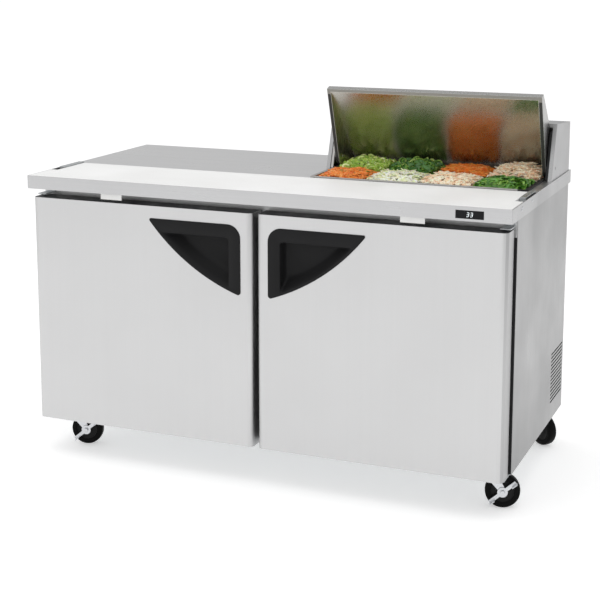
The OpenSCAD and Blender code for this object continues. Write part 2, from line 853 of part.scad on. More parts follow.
module caster_fork() {
    wr = wheel_d / 2;
    difference() {
        union() {
            rod_z(crown_z, crown_z + 3, 0, 0, 52);
            for (y = [-leg_y - leg_t, leg_y]) stand(y, y + leg_t) {
                polygon([
                    [-20, crown_z + 3], [20, crown_z + 3], [trail + 11, wr + 4],
                    [trail + 11, wr], [trail - 11, wr], [trail - 11, wr + 3]
                ]);
                translate([trail, wr]) circle(d = 22);
            }
        }
        rod_z(crown_z - 5, crown_z + 5, 0, 0, 12.2);
    }
    rod_y(-leg_y - leg_t - 4, leg_y + leg_t + 4, trail, wr, axle_d);
    rod_y(leg_y + leg_t, leg_y + leg_t + 4, trail, wr, 14);
    translate([trail, -leg_y - leg_t - 3.4, wr]) rotate([90, 0, 0]) cylinder(d = 14, h = 5, $fn = 6);
}

module caster_wheel() {
    wr = wheel_d / 2;
    translate([trail, 0, wr]) rotate([90, 0, 0]) rotate_extrude() polygon([
        [axle_d / 2 + 0.08, -wheel_w / 2 - 2.5], [14, -wheel_w / 2 - 2.5], [14, -wheel_w / 2 + 2],
        [30, -wheel_w / 2 + 2], [33, -wheel_w / 2], [wr - 5, -wheel_w / 2], [wr, -wheel_w / 2 + 5],
        [wr, wheel_w / 2 - 5], [wr - 5, wheel_w / 2], [33, wheel_w / 2], [30, wheel_w / 2 - 2],
        [14, wheel_w / 2 - 2], [14, wheel_w / 2 + 2.5], [axle_d / 2 + 0.08, wheel_w / 2 + 2.5]
    ]);
}

// foot brake: a plate turning on the axle outside the near fork leg, with a bent tread at each end
module caster_brake() {
    wr = wheel_d / 2;
    y1 = -leg_y - leg_t - 0.3;
    translate([trail, 0, wr]) rotate([0, -40, 0]) difference() {
        union() {
            stand(y1 - 2.5, y1) {
                circle(d = 30);
                square([98, 11], center = true);
            }
            for (s = [-1, 1]) box([s * 41 - 9, s * 41 + 9], [y1 - 14, y1], [-5.5, -3]);
        }
        rod_y(y1 - 5, y1 + 5, 0, 0, axle_d + 0.16);
    }
}

module fork_front_left() { color("#9fa2a5") at_caster(-1, -1) caster_fork(); }
module fork_front_right() { color("#9fa2a5") at_caster(1, -1) caster_fork(); }
module fork_rear_left() { color("#9fa2a5") at_caster(-1, 1) caster_fork(); }
module fork_rear_right() { color("#9fa2a5") at_caster(1, 1) caster_fork(); }
module wheel_front_left() { color("#161618") at_caster(-1, -1) caster_wheel(); }
module wheel_front_right() { color("#161618") at_caster(1, -1) caster_wheel(); }
module wheel_rear_left() { color("#161618") at_caster(-1, 1) caster_wheel(); }
module wheel_rear_right() { color("#161618") at_caster(1, 1) caster_wheel(); }
module brake_front_left() { color("#a9acaf") at_caster(-1, -1) caster_brake(); }
module brake_front_right() { color("#a9acaf") at_caster(1, -1) caster_brake(); }

module pan_front_1() { color("#caccce") pan_at(0, 0); }
module pan_front_2() { color("#caccce") pan_at(1, 0); }
module pan_front_3() { color("#caccce") pan_at(2, 0); }
module pan_front_4() { color("#caccce") pan_at(3, 0); }
module pan_rear_1() { color("#caccce") pan_at(0, 1); }
module pan_rear_2() { color("#caccce") pan_at(1, 1); }
module pan_rear_3() { color("#caccce") pan_at(2, 1); }
module pan_rear_4() { color("#caccce") pan_at(3, 1); }

base_pan();
side_panel_left();
side_panel_right();
rear_panel();
insulation();
inner_liner();
face_frame();
worktop();
front_rail();
display();
rail_tabs();
board_brackets();
hood_housing();
lid_seals();
pan_well();
pan_bars();
door_hinges();
shelf_standards();
shelves();
evaporator_coil();
evaporator_cover();
compressor();
condenser_coil();
fan_motors();
refrigerant_lines();
control_box();
caster_plates();
door_left_shell();
door_left_core();
door_left_gasket();
door_left_handle();
door_right_shell();
door_right_core();
door_right_gasket();
door_right_handle();
lid_shell();
lid_core();
lid_liner();
lid_pins();
cutting_board();
pan_front_1();
pan_front_2();
pan_front_3();
pan_front_4();
pan_rear_1();
pan_rear_2();
pan_rear_3();
pan_rear_4();
evaporator_fan();
condenser_fan();
fork_front_left();
fork_front_right();
fork_rear_left();
fork_rear_right();
wheel_front_left();
wheel_front_right();
wheel_rear_left();
wheel_rear_right();
brake_front_left();
brake_front_right();
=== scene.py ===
import json
import math
import random

import bmesh
import bpy
from mathutils import Matrix, Vector, noise


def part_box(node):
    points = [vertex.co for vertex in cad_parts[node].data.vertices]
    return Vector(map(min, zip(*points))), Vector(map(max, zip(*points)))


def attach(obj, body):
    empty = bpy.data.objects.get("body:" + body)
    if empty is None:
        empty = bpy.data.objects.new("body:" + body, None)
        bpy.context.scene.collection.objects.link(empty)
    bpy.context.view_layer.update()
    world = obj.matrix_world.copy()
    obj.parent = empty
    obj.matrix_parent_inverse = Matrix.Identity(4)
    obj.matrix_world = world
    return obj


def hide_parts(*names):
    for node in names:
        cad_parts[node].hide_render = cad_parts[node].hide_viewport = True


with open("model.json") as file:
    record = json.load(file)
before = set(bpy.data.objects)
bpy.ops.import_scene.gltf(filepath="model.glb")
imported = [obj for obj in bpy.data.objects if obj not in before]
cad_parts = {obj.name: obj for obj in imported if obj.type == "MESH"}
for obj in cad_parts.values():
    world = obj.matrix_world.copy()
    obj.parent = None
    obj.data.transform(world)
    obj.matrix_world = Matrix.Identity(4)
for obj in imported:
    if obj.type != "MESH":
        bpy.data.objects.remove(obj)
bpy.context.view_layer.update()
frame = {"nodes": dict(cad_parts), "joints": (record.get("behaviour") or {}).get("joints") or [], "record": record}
nodes = frame["nodes"]
slots = {s["node"]: s["material_slot"] for s in frame["record"]["subparts"]}
MM = 0.001

# Where painted shade begins on folded edges and turned faces, and the painted shadow along the side panels' tops:
# heights, or distances either side of the middle.
SKIRT_TOP, RAIL_END, DOOR_EDGE, SIDE_TOP = 0.8932, 0.7640, 0.7455, 0.8485


# ---------------------------------------------------------------- materials

def link(nt, a, b):
    nt.links.new(a, b)


def base_material(name):
    m = bpy.data.materials.new(name)
    m.use_nodes = True
    nt = m.node_tree
    bsdf = nt.nodes["Principled BSDF"]
    coord = nt.nodes.new("ShaderNodeTexCoord")
    return m, nt, bsdf, coord.outputs["Object"]


def noise_node(nt, coords, scale, stretch=(1, 1, 1), detail=3.0, rough=0.5):
    mapping = nt.nodes.new("ShaderNodeMapping")
    mapping.inputs["Scale"].default_value = stretch
    link(nt, coords, mapping.inputs["Vector"])
    tex = nt.nodes.new("ShaderNodeTexNoise")
    tex.inputs["Scale"].default_value = scale
    tex.inputs["Detail"].default_value = detail
    tex.inputs["Roughness"].default_value = rough
    link(nt, mapping.outputs["Vector"], tex.inputs["Vector"])
    return tex.outputs["Fac"]


def ramp_node(nt, fac, stops):
    ramp = nt.nodes.new("ShaderNodeValToRGB")
    els = ramp.color_ramp.elements
    while len(els) < len(stops):
        els.new(0.5)
    for e, (p, c) in zip(els, stops):
        e.position = p
        e.color = (*c, 1) if len(c) == 3 else c
    link(nt, fac, ramp.inputs["Fac"])
    return ramp.outputs["Color"]


def map_range(nt, fac, lo, hi, a=0.0, b=1.0):
    n = nt.nodes.new("ShaderNodeMapRange")
    n.inputs["From Min"].default_value = a
    n.inputs["From Max"].default_value = b
    n.inputs["To Min"].default_value = lo
    n.inputs["To Max"].default_value = hi
    link(nt, fac, n.inputs["Value"])
    return n.outputs["Result"]


def add_bump(nt, bsdf, height, strength, distance=0.001, normal=None):
    b = nt.nodes.new("ShaderNodeBump")
    b.inputs["Strength"].default_value = strength
    b.inputs["Distance"].default_value = distance
    link(nt, height, b.inputs["Height"])
    if normal is not None:
        link(nt, normal, b.inputs["Normal"])
    link(nt, b.outputs["Normal"], bsdf.inputs["Normal"])
    return b.outputs["Normal"]


def shade(c, k):
    return tuple(max(0.0, min(1.0, v * k)) for v in c)


def paint_shade_beyond(nt, co, color, axis, at, factor, over=True):
    """Darkens a colour as painted shade on folded edges and turned faces: over or under a height, or far enough to
    either side.
    """
    sep = nt.nodes.new("ShaderNodeSeparateXYZ")
    link(nt, co, sep.inputs["Vector"])
    away = nt.nodes.new("ShaderNodeMath")
    away.operation = "ABSOLUTE"
    link(nt, sep.outputs[axis], away.inputs[0])
    test = nt.nodes.new("ShaderNodeMath")
    test.operation = "GREATER_THAN" if over else "LESS_THAN"
    link(nt, away.outputs["Value"], test.inputs[0])
    test.inputs[1].default_value = at
    dim = nt.nodes.new("ShaderNodeMixRGB")
    dim.blend_type = "MULTIPLY"
    link(nt, test.outputs["Value"], dim.inputs["Fac"])
    link(nt, color, dim.inputs["Color1"])
    dim.inputs["Color2"].default_value = (factor, factor, factor, 1)
    return dim.outputs["Color"]


def steel(name, color, rough, grain, bump=0.08, vary=0.04, smudge=0.08, streaks=0.965, folded=None):
    """Brushed sheet: fine lines along one axis, cloudy handling marks and a slow change of tone."""
    m, nt, bsdf, co = base_material(name)
    along, across, streak_width = 3, 420, 12
    stretch = tuple(along if k == grain else across for k in "xyz")
    lines = noise_node(nt, co, 1.0, stretch, 4.0, 0.6)
    streak = noise_node(nt, co, 1.0, tuple(s / streak_width for s in stretch), 2.0)
    cloud = noise_node(nt, co, 3.2, (1, 1, 1), 4.0, 0.55)
    tone = ramp_node(nt, lines, [(0.25, shade(color, 1 - vary)), (0.75, shade(color, 1 + vary))])
    streaked = ramp_node(nt, streak, [(0.3, (streaks, streaks, streaks)), (0.7, (1, 1, 1))])
    mix = nt.nodes.new("ShaderNodeMixRGB")
    mix.blend_type = "MULTIPLY"
    mix.inputs["Fac"].default_value = 0.8
    link(nt, tone, mix.inputs["Color1"])
    link(nt, streaked, mix.inputs["Color2"])
    out = mix.outputs["Color"]
    # Painted shade: the folded band darkens the colour past a height or to either side.
    if folded:
        out = paint_shade_beyond(nt, co, out, *folded)
    link(nt, out, bsdf.inputs["Base Color"])
    brushed = map_range(nt, lines, rough - 0.05, rough + 0.05, 0.3, 0.7)
    smudged = map_range(nt, cloud, -smudge, smudge, 0.3, 0.7)
    add = nt.nodes.new("ShaderNodeMath")
    add.operation = "ADD"
    add.use_clamp = True
    link(nt, brushed, add.inputs[0])
    link(nt, smudged, add.inputs[1])
    link(nt, add.outputs["Value"], bsdf.inputs["Roughness"])
    bsdf.inputs["Metallic"].default_value = 1.0
    add_bump(nt, bsdf, lines, bump, 0.0004)
    return m


def plain(name, color, rough, bump=0.1, cloud=0.06, coat=0.0, specular=0.5):
    """Moulded plastic, rubber or paint: a fine pebble, cloudy tone and roughness."""
    m, nt, bsdf, co = base_material(name)
    pebble_scale, vary = 900, 0.08
    fine = noise_node(nt, co, pebble_scale, (1, 1, 1), 2.0)
    slow = noise_node(nt, co, 9.0, (1, 1, 1), 5.0, 0.6)
    tone = ramp_node(nt, slow, [(0.3, shade(color, 1 - vary)), (0.7, shade(color, 1 + vary))])
    link(nt, tone, bsdf.inputs["Base Color"])
    link(nt, map_range(nt, slow, rough - cloud, rough + cloud, 0.3, 0.7), bsdf.inputs["Roughness"])
    bsdf.inputs["Specular IOR Level"].default_value = specular
    if coat:
        bsdf.inputs["Coat Weight"].default_value = coat
        bsdf.inputs["Coat Roughness"].default_value = 0.1
    add_bump(nt, bsdf, fine, bump, 0.0003)
    return m


def two_tone(name, node, axis, at, below, above):
    """One piece with two finishes, (colour, metallic, roughness), parted by a plane across an axis."""
    m, nt, bsdf, co = base_material(name)
    local = nodes[node].matrix_world.inverted() @ Vector([at if k == axis else 0.0 for k in "xyz"])
    sep = nt.nodes.new("ShaderNodeSeparateXYZ")
    link(nt, co, sep.inputs["Vector"])
    test = nt.nodes.new("ShaderNodeMath")
    test.operation = "GREATER_THAN"
    link(nt, sep.outputs[axis.upper()], test.inputs[0])
    test.inputs[1].default_value = getattr(local, axis)
    cloud = noise_node(nt, co, 9.0, (1, 1, 1), 4.0)
    tone = nt.nodes.new("ShaderNodeMixRGB")
    tone.inputs["Color1"].default_value = (*below[0], 1)
    tone.inputs["Color2"].default_value = (*above[0], 1)
    link(nt, test.outputs["Value"], tone.inputs["Fac"])
    link(nt, tone.outputs["Color"], bsdf.inputs["Base Color"])
    link(nt, map_range(nt, test.outputs["Value"], below[1], above[1]), bsdf.inputs["Metallic"])
    rough = nt.nodes.new("ShaderNodeMath")
    rough.operation = "ADD"
    link(nt, map_range(nt, test.outputs["Value"], below[2], above[2]), rough.inputs[0])
    link(nt, map_range(nt, cloud, -0.05, 0.05, 0.3, 0.7), rough.inputs[1])
    link(nt, rough.outputs["Value"], bsdf.inputs["Roughness"])
    bsdf.inputs["Specular IOR Level"].default_value = 0.3
    return m


def foam(name, color):
    """Cut insulation with a fine cell pattern."""
    m, nt, bsdf, co = base_material(name)
    cells = nt.nodes.new("ShaderNodeTexVoronoi")
    cells.inputs["Scale"].default_value = 260
    link(nt, co, cells.inputs["Vector"])
    tone = ramp_node(nt, cells.outputs["Distance"], [(0.0, shade(color, 1.05)), (0.8, shade(color, 0.82))])
    link(nt, tone, bsdf.inputs["Base Color"])
    bsdf.inputs["Roughness"].default_value = 0.85
    add_bump(nt, bsdf, cells.outputs["Distance"], 0.4, 0.001)
    return m


def board_material(name):
    """White cutting board: matt, with fine knife marks in two directions."""
    m, nt, bsdf, co = base_material(name)
    cut_a = noise_node(nt, co, 1.0, (260, 9, 9), 3.0)
    cut_b = noise_node(nt, co, 1.0, (14, 300, 9), 3.0)
    slow = noise_node(nt, co, 5.0, (1, 1, 1), 4.0)
    tone = ramp_node(nt, slow, [(0.3, (0.90, 0.90, 0.89)), (0.7, (0.95, 0.95, 0.945))])
    link(nt, tone, bsdf.inputs["Base Color"])
    link(nt, map_range(nt, slow, 0.42, 0.58, 0.3, 0.7), bsdf.inputs["Roughness"])
    first_cuts = add_bump(nt, bsdf, cut_a, 0.05, 0.0004)
    add_bump(nt, bsdf, cut_b, 0.04, 0.0004, first_cuts)
    return m


def food_material(name, rough=0.45, coat=0.25, sss=0.08):
    """Takes each shred's tint from the mesh and breaks it up with fibres."""
    m, nt, bsdf, co = base_material(name)
    attr = nt.nodes.new("ShaderNodeAttribute")
    attr.attribute_name = "tint"
    fibre = noise_node(nt, co, 420, (1, 1, 1), 3.0)
    tone = ramp_node(nt, fibre, [(0.25, (0.82, 0.82, 0.82)), (0.75, (1.0, 1.0, 1.0))])
    mix = nt.nodes.new("ShaderNodeMixRGB")
    mix.blend_type = "MULTIPLY"
    mix.inputs["Fac"].default_value = 1.0
    link(nt, attr.outputs["Color"], mix.inputs["Color1"])
    link(nt, tone, mix.inputs["Color2"])
    link(nt, mix.outputs["Color"], bsdf.inputs["Base Color"])
    link(nt, map_range(nt, fibre, rough - 0.12, rough + 0.12, 0.3, 0.7), bsdf.inputs["Roughness"])
    bsdf.inputs["Subsurface Weight"].default_value = sss
    bsdf.inputs["Subsurface Scale"].default_value = 0.004
    bsdf.inputs["Coat Weight"].default_value = coat
    bsdf.inputs["Coat Roughness"].default_value = 0.25
    add_bump(nt, bsdf, fibre, 0.25, 0.0006)
    return m


def glow(name, color, strength):
    """A lit display segment."""
    m, _, bsdf, _ = base_material(name)
    bsdf.inputs["Base Color"].default_value = (*color, 1)
    bsdf.inputs["Emission Color"].default_value = (*color, 1)
    bsdf.inputs["Emission Strength"].default_value = strength
    return m


NEAR_BLACK = (0.012, 0.012, 0.013)
# The worktop, rail, door, side and hood steels stand for one stainless; their base tones differ as painted light
# and shade, the side and hood darkest. Their folded bands are painted shade.
mat = {
    "worktop_steel": steel("worktop_steel", (0.69, 0.69, 0.695), 0.34, "x", 0.06,
                           folded=("Z", SKIRT_TOP, 0.56, False)),
    "rail_steel": steel("rail_steel", (0.535, 0.535, 0.54), 0.34, "x", 0.05, folded=("X", RAIL_END, 0.78)),
    "door_steel": steel("door_steel", (0.592, 0.592, 0.594), 0.42, "z", 0.04, vary=0.02, smudge=0.04,
                        streaks=0.99, folded=("X", DOOR_EDGE, 0.80)),
    "side_steel": steel("side_steel", (0.345, 0.345, 0.347), 0.38, "z", 0.05, streaks=0.98,
                        folded=("Z", SIDE_TOP, 0.35)),
    "stainless": steel("stainless", (0.62, 0.62, 0.63), 0.28, "x", 0.06),
    "hood_steel": steel("hood_steel", (0.36, 0.36, 0.363), 0.32, "z", 0.05),
    "lid_outer": steel("lid_outer", (0.44, 0.44, 0.43), 0.28, "z", 0.05),
    "lid_steel": steel("lid_steel", (0.60, 0.58, 0.53), 0.28, "z", 0.04, vary=0.06, smudge=0.035),
    "pan_steel": steel("pan_steel", (0.72, 0.72, 0.73), 0.20, "x", 0.03, smudge=0.05),
    "galvanised": steel("galvanised", (0.52, 0.54, 0.55), 0.42, "x", 0.05, vary=0.08),
    "plated_steel": steel("plated_steel", (0.62, 0.63, 0.65), 0.26, "z", 0.04),
    "liner_aluminium": steel("liner_aluminium", (0.72, 0.73, 0.74), 0.38, "x", 0.05),
    "fin_aluminium": steel("fin_aluminium", (0.62, 0.63, 0.64), 0.35, "y", 0.05),
    "copper": steel("copper", (0.72, 0.38, 0.20), 0.28, "x", 0.03),
    "tab_white": plain("tab_white", (0.68, 0.68, 0.67), 0.40),
    "foam": foam("foam", (0.78, 0.72, 0.52)),
    "trim_black": plain("trim_black", (0.030, 0.031, 0.033), 0.45),
    "trim_grey": plain("trim_grey", (0.20, 0.20, 0.21), 0.40),
    "handle_black": plain("handle_black", (0.012, 0.012, 0.0125), 0.46, bump=0.16, specular=0.12),
    "seal_black": plain("seal_black", (0.016, 0.016, 0.017), 0.55, bump=0.1),
    "gasket_grey": plain("gasket_grey", (0.16, 0.165, 0.17), 0.55),
    "display_black": plain("display_black", (0.006, 0.006, 0.007), 0.16, bump=0.0, coat=0.08, cloud=0.02,
                           specular=0.12),
    "board_white": board_material("board_white"),
    "machine_black": plain("machine_black", (0.022, 0.022, 0.024), 0.35, coat=0.3),
    "box_grey": plain("box_grey", (0.24, 0.25, 0.26), 0.5),
    "fan_black": plain("fan_black", (0.03, 0.03, 0.032), 0.4),
    "tyre_black": plain("tyre_black", (0.004, 0.004, 0.004), 0.42, bump=0.15, specular=0.06),
    "hub_grey": plain("hub_grey", (0.006, 0.006, 0.0063), 0.38, specular=0.15),
    "digit": glow("digit", (0.80, 0.86, 0.88), 0.8),
    "frame_finish": two_tone("frame_finish", "face_frame", "z", 0.80, (NEAR_BLACK, 0.0, 0.5),
                             ((0.62, 0.62, 0.62), 1.0, 0.40)),
    "seal_finish": two_tone("seal_finish", "lid_seals", "x", 0.705, ((0.42, 0.41, 0.40), 1.0, 0.36),
                            (NEAR_BLACK, 0.0, 0.55)),
    "door_back": two_tone("door_back", "door_left_core", "y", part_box("door_left_core")[1].y - 0.6 * MM,
                          ((0.030, 0.031, 0.033), 0.0, 0.45), ((0.62, 0.63, 0.64), 0.0, 0.42)),
    # Painted light and shade on one rim: a lighter band along the top, the rest dark.
    "lid_rim": two_tone("lid_rim", "lid_core", "z", 1.137, ((0.055, 0.054, 0.050), 0.6, 0.4),
                        ((0.30, 0.29, 0.265), 1.0, 0.34)),
    "food": food_material("food"),
    "leaf": food_material("leaf", 0.40, 0.3, 0.05),
}


def dress(o, m):
    o.data.materials.clear()
    o.data.materials.append(m)


# ---------------------------------------------------------------- CAD nodes

def soften(o, width):
    """Rounds a CAD node's folded and cut edges without touching its mesh."""
    weld = o.modifiers.new("weld", "WELD")
    weld.merge_threshold = 0.00002
    planes = o.modifiers.new("planes", "DECIMATE")
    planes.decimate_type = "DISSOLVE"
    planes.angle_limit = math.radians(0.6)
    edges = o.modifiers.new("edges", "BEVEL")
    edges.width = width
    edges.segments = 2
    edges.limit_method = "ANGLE"
    edges.angle_limit = math.radians(32)
    edges.harden_normals = True


def crease(o):
    """Keeps a CAD node's edges sharp and its flats flat where nothing is rounded."""
    split = o.modifiers.new("crease", "EDGE_SPLIT")
    split.split_angle = math.radians(30)
    flat = o.modifiers.new("flat", "WEIGHTED_NORMAL")
    flat.weight = 100


# The finish of a node where it isn't its record slot's own.
special = {
    "hood_housing": "hood_steel", "lid_shell": "lid_outer", "lid_core": "lid_rim",
    "face_frame": "frame_finish", "lid_seals": "seal_finish",
    "door_left_core": "door_back", "door_right_core": "door_back",
    "pan_well": "stainless", "pan_bars": "stainless",
}
# The rounding of each softened node's edges, in millimetres.
PAN_EDGE = 0.55
edge_mm = {
    "worktop": 0.7, "front_rail": 0.7, "hood_housing": 0.8, "lid_shell": 0.5, "lid_liner": 0.5, "lid_core": 0.4,
    "door_left_shell": 0.45, "door_right_shell": 0.45, "cutting_board": 1.6, "board_brackets": 0.5,
    "display": 0.5, "rail_tabs": 0.5, "lid_seals": 1.2, "pan_bars": 1.0, "side_panel_left": 0.5,
    "side_panel_right": 0.5, "door_left_core": 1.0, "door_right_core": 1.0, "door_left_gasket": 2.5,
    "door_right_gasket": 2.5, "shelves": 1.2, "door_hinges": 0.8, "caster_plates": 0.7, "face_frame": 0.8,
    "evaporator_cover": 0.6, "control_box": 1.5, "brake_front_left": 0.8, "brake_front_right": 0.8,
    "fork_front_left": 0.8, "fork_front_right": 0.8, "fork_rear_left": 0.8, "fork_rear_right": 0.8,
    "shelf_standards": 0.4, "base_pan": 0.4, "rear_panel": 0.5,
}
for name, o in nodes.items():
    key = special.get(name, slots[name])
    if name.startswith(("pan_front", "pan_rear")):
        key = "pan_steel"
        edge_mm[name] = PAN_EDGE
    dress(o, mat[key])
    if name in edge_mm:
        soften(o, edge_mm[name] * MM)
    else:
        crease(o)


# ---------------------------------------------------------------- mesh tools

def piece(name, bm, body, *mats, smooth=35, slot=None):
    """Turns a bmesh into a named object that rides on a body."""
    me = bpy.data.meshes.new(name)
    bmesh.ops.recalc_face_normals(bm, faces=bm.faces)
    bm.to_mesh(me)
    bm.free()
    for m in mats:
        me.materials.append(m)
    o = bpy.data.objects.new(name, me)
    bpy.context.scene.collection.objects.link(o)
    if smooth is not None:
        me.shade_smooth()
        me.set_sharp_from_angle(angle=math.radians(smooth))
    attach(o, body)
    return o


def lathe(bm, profile, origin, axis, steps=40, mat_index=0):
    """Turns (radius, height) points about an axis through origin. Ends at radius 0 close themselves."""
    z = Vector(axis).normalized()
    x = z.orthogonal().normalized()
    y = z.cross(x)
    origin = Vector(origin)
    rings = []
    for r, h in profile:
        if r < 1e-7:
            rings.append([bm.verts.new(origin + z * h)])
        else:
            rings.append([bm.verts.new(origin + z * h + (x * math.cos(t) + y * math.sin(t)) * r)
                          for t in (2 * math.pi * i / steps for i in range(steps))])
    for a, b in zip(rings, rings[1:]):
        for i in range(steps):
            j = (i + 1) % steps
            va = [a[0]] if len(a) == 1 else [a[i], a[j]]
            vb = [b[0]] if len(b) == 1 else [b[j], b[i]]
            if len(va) + len(vb) > 2:
                f = bm.faces.new(va + vb)
                f.material_index = mat_index


def screw(bm, at, normal, r=4.0, h=2.2):
    """Pan head with a driver recess, in millimetres."""
    n = Vector(normal).normalized()
    prof = [(r, -0.4), (r, 0.25 * h), (0.93 * r, 0.62 * h), (0.7 * r, 0.92 * h), (0.45 * r, h),
            (0.34 * r, h * 0.97), (0.27 * r, h * 0.45), (0, h * 0.35)]
    lathe(bm, [(a * MM, b * MM) for a, b in prof], at, n, 24)


def bridge(bm, loops):
    """Joins equal loops of points in order and closes the last one."""
    rows = [[bm.verts.new(p) for p in loop] for loop in loops]
    n = len(rows[0])
    for a, b in zip(rows, rows[1:]):
        for i in range(n):
            bm.faces.new((a[i], a[(i + 1) % n], b[(i + 1) % n], b[i]))
    bm.faces.new(rows[-1])


# ---------------------------------------------------------------- door handles

# The long arc under both handles, in millimetres: its centre and its radius.
ARC_X, ARC_Z, ARC_R = -147, 826 + 347, 627
TOP_STEPS, CORNER_STEPS, SIDE_STEPS, ARC_STEPS, TIP_ROUNDINGS = 40, 14, 30, 60, 40


def handle_outline(top, inner_x, arc_cut, side, corner, tip_r):
    """Points round the handle's quarter-moon outline: straight top and inner side, one long arc."""
    cx, cz, arc = ARC_X * MM, ARC_Z * MM, (ARC_R - arc_cut) * MM
    z1, x0, r = top, inner_x, corner
    x_tip = cx + math.sqrt(arc * arc - (cz - z1) ** 2)
    z_bot = cz - math.sqrt(arc * arc - (x0 - cx) ** 2)
    pts = []
    for i in range(TOP_STEPS):
        pts.append((x_tip + (x0 + r - x_tip) * i / TOP_STEPS, z1))
    for i in range(CORNER_STEPS):
        a = math.radians(90 + 90 * i / CORNER_STEPS)
        pts.append((x0 + r + r * math.cos(a), z1 - r + r * math.sin(a)))
    for i in range(SIDE_STEPS):
        pts.append((x0, z1 - r + (z_bot - z1 + r) * i / SIDE_STEPS))
    a0 = math.atan2(z_bot - cz, x0 - cx)
    a1 = math.atan2(z1 - cz, x_tip - cx)
    for i in range(ARC_STEPS):
        a = a0 + (a1 - a0) * i / ARC_STEPS
        pts.append((cx + arc * math.cos(a), cz + arc * math.sin(a)))
    tips = [Vector((x_tip, z1)), Vector((x0, z_bot))]
    for _ in range(TIP_ROUNDINGS):
        new = []
        for i, p in enumerate(pts):
            p = Vector(p)
            near = min((p - t).length for t in tips)
            if near < tip_r:
                q = (Vector(pts[i - 1]) + Vector(pts[(i + 1) % len(pts)])) / 2
                p = p.lerp(q, 0.5)
            new.append(tuple(p))
        pts = new
    return [(side * x, z) for x, z in pts]


def door_handle(side, name, node, body):
    """A rounded plate that dips into a finger well, from outline to outline."""
    lo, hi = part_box(node)
    top = hi.z
    inner = min(abs(lo.x), abs(hi.x))
    y0 = lo.y
    y_plate = y0 + 2 * MM
    outer = handle_outline(top, inner, 0, side, 42 * MM, 7 * MM)
    outer_in = handle_outline(top - 1.6 * MM, inner + 1.6 * MM, 1.6, side, 40.4 * MM, 7 * MM)
    edge = handle_outline(top - 38.5 * MM, inner + 36.5 * MM, 6.0, side, 10 * MM, 5 * MM)
    mouth = handle_outline(top - 40 * MM, inner + 38 * MM, 7.5, side, 9 * MM, 5 * MM)
    mid = handle_outline(top - 41 * MM, inner + 39 * MM, 17, side, 9 * MM, 5 * MM)
    deep = handle_outline(top - 43 * MM, inner + 41 * MM, 33, side, 10 * MM, 8 * MM)
    back = handle_outline(top - 48 * MM, inner + 46 * MM, 41, side, 10 * MM, 10 * MM)
    depth = [(outer, y_plate), (outer, y0 + 0.7 * MM), (outer_in, y0), (edge, y0), (mouth, y0 + 1.2 * MM),
             (mid, y0 + 14 * MM), (deep, y0 + 36 * MM), (back, y0 + 41 * MM)]
    bm = bmesh.new()
    loops = [[Vector((x, y, z)) for x, z in pts] for pts, y in depth]
    bridge(bm, loops)
    o = piece(name, bm, body, mat["handle_black"], smooth=50, slot="handle_black")
    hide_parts(node)


door_handle(-1, "handle_left", "door_left_handle", "door_left")
door_handle(1, "handle_right", "door_right_handle", "door_right")


# ---------------------------------------------------------------- casters

def wheel(name, node, body, joint):
    """A tyre and its hub, turned about the wheel's own joint axis."""
    j = next(j for j in frame["joints"] if j["name"] == joint)
    c, axis = Vector(j["pos_m"]), Vector(j["axis"])
    bm = bmesh.new()
    half_tyre = [(33, 14.2), (36, 14.8), (45, 14.6), (48.4, 13.2), (50.2, 10), (50.8, 5)]
    tyre = [(r, -h) for r, h in half_tyre] + [(51, 0)] + half_tyre[::-1]
    lathe(bm, [(r * MM, h * MM) for r, h in tyre], c, axis, 72, 0)
    half_hub = [(33, 14.2), (32.4, 12.6), (30, 11.8), (22, 11.4), (17, 12.4), (15.2, 14), (14, 17.2),
                (5.2, 17.4), (4.3, 16.8)]
    hub = [(r, -h) for r, h in half_hub] + half_hub[::-1]
    lathe(bm, [(r * MM, h * MM) for r, h in hub], c, axis, 72, 1)
    bmesh.ops.remove_doubles(bm, verts=bm.verts, dist=1e-6)
    o = piece(name, bm, body, mat["tyre_black"], mat["hub_grey"], smooth=40, slot="tyre_black")
    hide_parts(node)


for row in ("front", "rear"):
    for side in ("left", "right"):
        wheel(f"tyre_{row}_{side}", f"wheel_{row}_{side}", f"wheel_{row}_{side}", f"roll_{row}_{side}")


# ---------------------------------------------------------------- food

def pick(rng, colors, spread=0.08):
    """One of the colours, a little lighter or darker."""
    c = rng.choice(colors)
    k = 1 + rng.uniform(-spread, spread)
    return tuple(max(0, min(1, v * k * (1 + rng.uniform(-0.03, 0.03)))) for v in c)


# The lid's underside in metres, as height at a depth, slope, and the room left under it.
SHUT_LID = (0.8995, -0.073, 0.444, 0.004)
OPEN_LID = (1.1434, 0.0594, -1.0757, 0.014)
LOWEST_CEILING = 0.8950


def food_ceiling(y):
    """The height food stays under: the shut lid's slope in front, the open lid's slope behind."""
    under = [height + slope * (y - depth) - room for height, depth, slope, room in (SHUT_LID, OPEN_LID)]
    return max(LOWEST_CEILING, min(under))


